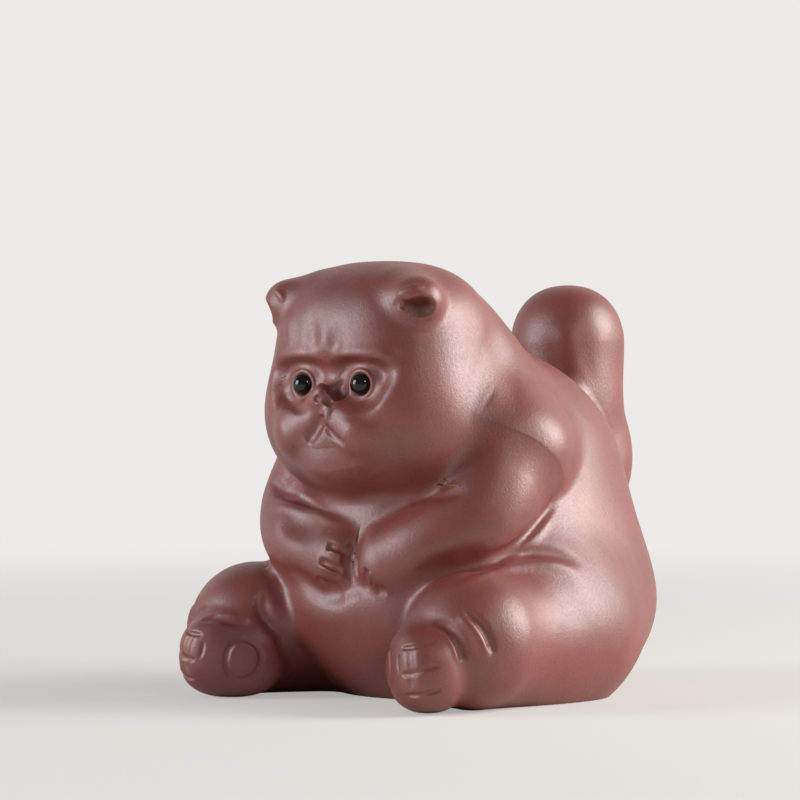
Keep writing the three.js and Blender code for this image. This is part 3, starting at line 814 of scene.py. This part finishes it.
def skin_mesh(name, grid, normals=None):
    """A closed mesh over a grid (rows, around, 3) whose first and last rows each shrink to one pole."""
    rows, around = grid.shape[:2]
    points = to_frame(poled(grid))
    ring = np.arange(around)
    nxt = np.roll(ring, -1)
    body = 1 + np.arange(rows - 2)[:, None] * around
    quads = np.stack([body[:-1] + ring, body[1:] + ring, body[1:] + nxt, body[:-1] + nxt], -1).reshape(-1, 4)
    top = np.stack([np.zeros(around, int), 1 + ring, 1 + nxt], -1)
    end = len(points) - 1
    last = 1 + (rows - 3) * around
    bottom = np.stack([np.full(around, end), last + nxt, last + ring], -1)
    loops = np.concatenate([top.ravel(), quads.ravel(), bottom.ravel()])
    starts = np.concatenate([np.arange(around) * 3, 3 * around + np.arange(len(quads)) * 4,
                             3 * around + 4 * len(quads) + np.arange(around) * 3])
    mesh = bpy.data.meshes.new(name)
    mesh.vertices.add(len(points))
    mesh.vertices.foreach_set("co", points.ravel())
    mesh.loops.add(len(loops))
    mesh.loops.foreach_set("vertex_index", loops)
    mesh.polygons.add(len(starts))
    mesh.polygons.foreach_set("loop_start", starts)
    mesh.update(calc_edges=True)
    turn_outward(mesh)
    mesh.polygons.foreach_set("use_smooth", np.ones(len(mesh.polygons), bool))
    if normals is not None:
        mesh.normals_split_custom_set_from_vertices(poled(normals))
    return placed(name, mesh)


# Finishes
def linear(hex_colour):
    """An sRGB hex colour as linear RGBA."""
    c = np.array([int(hex_colour[i:i + 2], 16) for i in (1, 3, 5)]) / 255.0
    c = np.where(c <= 0.04045, c / 12.92, ((c + 0.055) / 1.055) ** 2.4)
    return (*c, 1.0)


def add(tree, kind, links=(), **settings):
    """Adds a node, sets its properties, and its sockets by name or number after in_, and makes links of
    (socket, from node, output)."""
    node = tree.nodes.new(kind)
    for key, value in settings.items():
        if key.startswith("in_"):
            socket = key[3:].replace("_", " ")
            node.inputs[int(socket) if socket.isdigit() else socket].default_value = value
        else:
            setattr(node, key, value)
    for socket, source, output in links:
        tree.links.new(source.outputs[output], node.inputs[socket])
    return node


def ramp(tree, source, output, stops):
    """A colour ramp of (position, colour) stops."""
    node = add(tree, "ShaderNodeValToRGB", [("Fac", source, output)])
    elements = node.color_ramp.elements
    while len(elements) < len(stops):
        elements.new(0.5)
    for element, (place, colour) in zip(elements, stops):
        element.position, element.color = place, colour
    return node


def grey(v):
    return (v, v, v, 1.0)


def new_material(name):
    material = bpy.data.materials.new(name)
    material.use_nodes = True
    tree = material.node_tree
    tree.nodes.clear()
    return material, tree


def purple_clay():
    """Purple teapot clay, an unglazed stoneware rich in iron, burnished while leather-hard: satin, with sand
    grains that catch the light."""
    material, tree = new_material("burnished_purple_clay")
    place = add(tree, "ShaderNodeTexCoord")
    # Iron in the clay fires in clouds about 15 mm across, from brown-red to plum
    clouds = add(tree, "ShaderNodeTexNoise", [("Vector", place, "Object")],
                 in_Scale=65.0, in_Detail=4.0, in_Roughness=0.6)
    tint = ramp(tree, clouds, "Fac",
                [(0.30, linear("#74352d")), (0.52, linear("#833e36")), (0.74, linear("#90483f"))])
    # Sand in the clay: grains about 0.5 mm, some pale, some dark, with finer ones between them
    grains = add(tree, "ShaderNodeTexNoise", [("Vector", place, "Object")],
                 in_Scale=2000.0, in_Detail=3.0, in_Roughness=0.6)
    speck = ramp(tree, grains, "Fac", [(0.30, grey(0.80)), (0.5, grey(1.0)), (0.72, grey(1.16))])
    colour = add(tree, "ShaderNodeMix", [(6, tint, "Color"), (7, speck, "Color")],
                 data_type="RGBA", blend_type="MULTIPLY", in_0=0.8)
    satin = ramp(tree, grains, "Fac", [(0.3, grey(0.50)), (0.7, grey(0.40))])
    # Bump: the grain, the burnisher's upright strokes, about 1 mm wide and three times as long, and the
    # hand's slow unevenness, about 7 mm
    grain_bump = add(tree, "ShaderNodeBump", [("Height", grains, "Fac")],
                     in_Strength=0.5, in_Distance=0.00012)
    stretch = add(tree, "ShaderNodeMapping", [("Vector", place, "Object")], in_Scale=(1.0, 1.0, 0.35))
    strokes = add(tree, "ShaderNodeTexNoise", [("Vector", stretch, "Vector")], in_Scale=900.0, in_Detail=2.0)
    stroke_bump = add(tree, "ShaderNodeBump", [("Height", strokes, "Fac"), ("Normal", grain_bump, "Normal")],
                      in_Strength=0.25, in_Distance=0.00010)
    slow = add(tree, "ShaderNodeTexNoise", [("Vector", place, "Object")], in_Scale=140.0, in_Detail=1.0)
    slow_bump = add(tree, "ShaderNodeBump", [("Height", slow, "Fac"), ("Normal", stroke_bump, "Normal")],
                    in_Strength=0.25, in_Distance=0.0006)
    shader = add(tree, "ShaderNodeBsdfPrincipled",
                 [("Base Color", colour, 2), ("Roughness", satin, "Color"), ("Normal", slow_bump, "Normal")],
                 in_IOR=1.5, in_Specular_IOR_Level=1.0)
    add(tree, "ShaderNodeOutputMaterial", [("Surface", shader, "BSDF")])
    return material


def bead_glass():
    """Black glass bead, fire-polished: nearly a mirror, with a faint green-grey depth."""
    material, tree = new_material("black_glass_bead")
    place = add(tree, "ShaderNodeTexCoord")
    depth = add(tree, "ShaderNodeTexNoise", [("Vector", place, "Object")], in_Scale=500.0, in_Detail=1.0)
    colour = ramp(tree, depth, "Fac", [(0.35, linear("#060606")), (0.65, linear("#12140f"))])
    shader = add(tree, "ShaderNodeBsdfPrincipled", [("Base Color", colour, "Color")],
                 in_Roughness=0.04, in_IOR=1.52)
    add(tree, "ShaderNodeOutputMaterial", [("Surface", shader, "BSDF")])
    return material


CLAY, GLASS = purple_clay(), bead_glass()


def finish_piece(piece, node, material):
    """Gives a piece its material, hangs it on the frame's root body, and hides the CAD part of the node that
    it stands for.
    """
    piece.data.materials.append(material)
    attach(piece, "root")
    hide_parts(node)


# Pieces.
FINE = 1.0
FRONT, REAR = (0, -1, 0), (0, 1, 0)
PATH_STEPS, PAD_STEPS, LID_STEPS = 12, 8, 3
LID_REACH = 4.0


def n(count):
    """A count of rays at the fineness in use."""
    return max(8, int(count * FINE))


def clay_piece(name, make_mesh, centres, ways, far):
    """The clay piece of a node: the skin where rays leave it, at most far from their centres."""
    grid, normals = skin_points(name, centres, ways, far)
    finish_piece(make_mesh(name + "_skin", grid, normals), name, CLAY)


def ball_piece(name, middle, pole, around, rows, crowd=0.0, far=60.0):
    """A clay piece cast from one middle."""
    clay_piece(name, skin_mesh, *ball_rays(middle, pole, n(around), n(rows), crowd), far)


def path_piece(name, path, around, along, cap, far=25.0):
    """A clay piece cast from a path."""
    clay_piece(name, skin_mesh, *path_rays(path, n(around), n(along), n(cap)), far)


def side_path(knots, side, steps):
    """The path through the left side's knots, or its mirror image on the right."""
    return smooth_path([(*on_side(np.array(q[:3]), side), *q[3:]) for q in knots], steps)


def loop_piece(name, path, around):
    """A clay ring: rays square to a closed path, all the way round it."""
    path = path[:-1, :3]
    axes = np.roll(path, -1, 0) - np.roll(path, 1, 0)
    axes /= np.linalg.norm(axes, axis=1)[:, None]
    out = np.cross(axes, (0, -1.0, 0))
    out /= np.linalg.norm(out, axis=1)[:, None]
    front = np.cross(out, axes)
    turn = turned_round(n(around))[None, :, None]
    ways = np.cos(turn) * out[:, None] + np.sin(turn) * front[:, None]
    clay_piece(name, ring_mesh, path[:, None], ways, LID_REACH)


def ring_mesh(name, grid, normals):
    """A closed mesh over a grid that joins up both ways, as on a ring."""
    rows, around = grid.shape[:2]
    points = to_frame(grid.reshape(-1, 3))
    i, j = np.meshgrid(np.arange(rows), np.arange(around), indexing="ij")
    i2, j2 = (i + 1) % rows, (j + 1) % around
    quads = np.stack([i * around + j, i2 * around + j, i2 * around + j2, i * around + j2], -1).reshape(-1, 4)
    mesh = bpy.data.meshes.new(name)
    mesh.from_pydata(points, [], quads)
    turn_outward(mesh)
    mesh.polygons.foreach_set("use_smooth", np.ones(len(quads), bool))
    mesh.normals_split_custom_set_from_vertices(normals.reshape(-1, 3))
    return placed(name, mesh)


def bead(name, middle):
    """A glass bead, a ball a little longer front to back: radius times (0.97 + 0.04 cos^2 of the angle from
    its front)."""
    centres, ways = ball_rays(middle, FRONT, n(96), n(64))
    radius = EYE_RADIUS * (1 + 0.04 * ways[..., 1:2] ** 2 - 0.03)
    finish_piece(skin_mesh(name + "_bead", centres + ways * radius), name, GLASS)


ball_piece("belly_shell", (0, 27, 30), FRONT, 400, 240)
ball_piece("back_shell", (0, 60, 34), REAR, 430, 230)
ball_piece("head_shell", HEAD_MIDDLE, FRONT, 400, 230, 0.45)
ball_piece("nose", front_of(head, 0, NOSE_Z, 1.6), FRONT, 120, 90)
ball_piece("chin", front_of(head, 0, CHIN_Z, 3.4), FRONT, 110, 80)
path_piece("tail", smooth_path(tail_knots, PATH_STEPS), 240, 120, 70, 40)
for side, word, own_arm in ((1, "left_", left_arm_knots), (-1, "right_", right_arm_knots)):
    path_piece(word + "thigh", side_path(leg_knots, side, PATH_STEPS), 220, 70, 60, 40)
    ball_piece(word + "foot", on_side(FOOT_AT, side), on_side(TOEWARD, side), 220, 150, 0.2)
    ball_piece(word + "sole_pad", on_side(SOLE_PAD_AT, side), on_side(OUT_OF_SOLE, side), 90, 60)
    path_piece(word + "arm", side_path(own_arm, side, PATH_STEPS), 220, 150, 60, 30)
    ball_piece(word + "ear", on_side(EAR_AT - 1.5 * OUT_OF_EAR, side), REAR, 140, 100)
    path_piece(word + "whisker_pad", side_path(pad_knots, side, PAD_STEPS), 110, 30, 40, 12)
    loop_piece(word + "eyelid", side_path(lid_path, side, LID_STEPS), 28)
    bead(word + "eye", on_side(EYE_SEAT, side))

# The base slab shows only from below, and takes the figure's clay
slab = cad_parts["base_slab"]
slab.data.materials.clear()
slab.data.materials.append(CLAY)


# Floor, light and camera
def pale_paper():
    """Matt pale paper: it keeps the soft shadow near the figure, and the lens sees it evenly pale farther
    off."""
    material, tree = new_material("pale_paper_sweep")
    paper = add(tree, "ShaderNodeBsdfPrincipled", in_Base_Color=linear("#e6e3df"), in_Roughness=0.9)
    glow = add(tree, "ShaderNodeEmission", in_Color=linear("#eceae7"), in_Strength=1.0)
    path = add(tree, "ShaderNodeLightPath")
    mirrored_too = add(tree, "ShaderNodeMath", [(0, path, "Is Glossy Ray"), (1, path, "Is Transmission Ray")],
                       operation="ADD", use_clamp=True)
    place = add(tree, "ShaderNodeTexCoord")
    distance = add(tree, "ShaderNodeVectorMath", [(0, place, "Object")], operation="LENGTH")
    # The share of its own pale colour that the lens sees, and that clay and glass mirror, by the distance
    # in metres from the middle of the floor
    lens_share = add(tree, "ShaderNodeMapRange", [("Value", distance, "Value")],
                     interpolation_type="SMOOTHSTEP", in_1=0.08, in_2=0.7, in_3=0.45, in_4=1.0)
    mirror_share = add(tree, "ShaderNodeMapRange", [("Value", distance, "Value")],
                       interpolation_type="SMOOTHSTEP", in_1=0.15, in_2=1.2, in_3=0.0, in_4=1.0)
    lens = add(tree, "ShaderNodeMath", [(0, path, "Is Camera Ray"), (1, lens_share, "Result")],
               operation="MULTIPLY")
    mirror = add(tree, "ShaderNodeMath", [(0, mirrored_too, 0), (1, mirror_share, "Result")],
                 operation="MULTIPLY")
    share = add(tree, "ShaderNodeMath", [(0, lens, 0), (1, mirror, 0)], operation="ADD", use_clamp=True)
    mixed = add(tree, "ShaderNodeMixShader", [(0, share, 0), (1, paper, "BSDF"), (2, glow, "Emission")])
    add(tree, "ShaderNodeOutputMaterial", [("Surface", mixed, "Shader")])
    return material


# The paper in metres: where its floor starts and ends, the radius of its curve, its top and its half width
NEAR_EDGE, CURVE_START, CURVE, PAPER_TOP, HALF_WIDTH = -3.0, 1.2, 0.8, 3.0, 4.0
# The figure stands a hair above the paper
HAIR = 0.00002


def sweep():
    """A floor that curves up into a backdrop: a profile away from the lens, carried from left to right."""
    bend = np.linspace(0, np.pi / 2, 24)
    back = CURVE_START + CURVE
    y = np.concatenate([np.linspace(NEAR_EDGE, CURVE_START, 40), CURVE_START + CURVE * np.sin(bend),
                        np.full(12, back)])
    z = np.concatenate([np.zeros(40), CURVE - CURVE * np.cos(bend), np.linspace(0.9, PAPER_TOP, 12)])
    gx, gy = np.meshgrid(np.linspace(-HALF_WIDTH, HALF_WIDTH, 3), y, indexing="ij")
    points = gx[..., None] * RIGHT + gy[..., None] * AWAY + (z - HAIR)[:, None] * UP
    rows, cols = gx.shape
    i, j = np.meshgrid(np.arange(rows - 1), np.arange(cols - 1), indexing="ij")
    corner = i * cols + j
    quads = np.stack([corner, corner + cols, corner + cols + 1, corner + 1], -1).reshape(-1, 4)
    mesh = bpy.data.meshes.new("paper_sweep")
    mesh.from_pydata(points.reshape(-1, 3), [], quads)
    mesh.polygons.foreach_set("use_smooth", np.ones(len(quads), bool))
    mesh.materials.append(pale_paper())
    placed("paper_sweep", mesh)


sweep()


def lamp(name, place, aim, size, power, colour):
    """A square softbox at a place in metres, turned to face a point."""
    data = bpy.data.lights.new(name, "AREA")
    data.shape, data.size, data.energy, data.color = "SQUARE", size, power, colour
    lamp_object = placed(name, data)
    way = aim - place
    lamp_object.location = place
    pitch = np.arctan2(np.hypot(way[0], way[1]), -way[2])
    lamp_object.rotation_euler = (pitch, 0, np.arctan2(way[1], way[0]) - np.pi / 2)


# The lamps face the middle of the figure
AIM = np.array([0, 0, 0.045])
lamp("key", AIM + 0.76 * RIGHT + 0.02 * AWAY + 0.34 * UP, AIM, 0.50, 9.5, (1.0, 0.97, 0.94))
lamp("fill", AIM - 0.80 * RIGHT - 0.18 * AWAY + 0.26 * UP, AIM, 0.45, 4.6, (0.93, 0.96, 1.0))
lamp("front", AIM + 0.46 * RIGHT - 0.62 * AWAY + 0.42 * UP, AIM, 0.12, 0.7, (1.0, 0.98, 0.96))

world = bpy.data.worlds.new("soft_room")
bpy.context.scene.world = world
world.use_nodes = True
background = world.node_tree.nodes["Background"]
background.inputs["Color"].default_value = grey(1.0)
background.inputs["Strength"].default_value = 0.16

lens = bpy.data.cameras.new("camera")
lens.sensor_width, lens.lens = FILM, FOCAL_LENGTH
camera = placed("camera", lens)
camera.location = to_frame(LENS_AT)
camera.rotation_euler = (radians(90), 0, radians(VIEW_TURN))
bpy.context.scene.camera = camera
bpy.context.scene.view_settings.view_transform = "Standard"
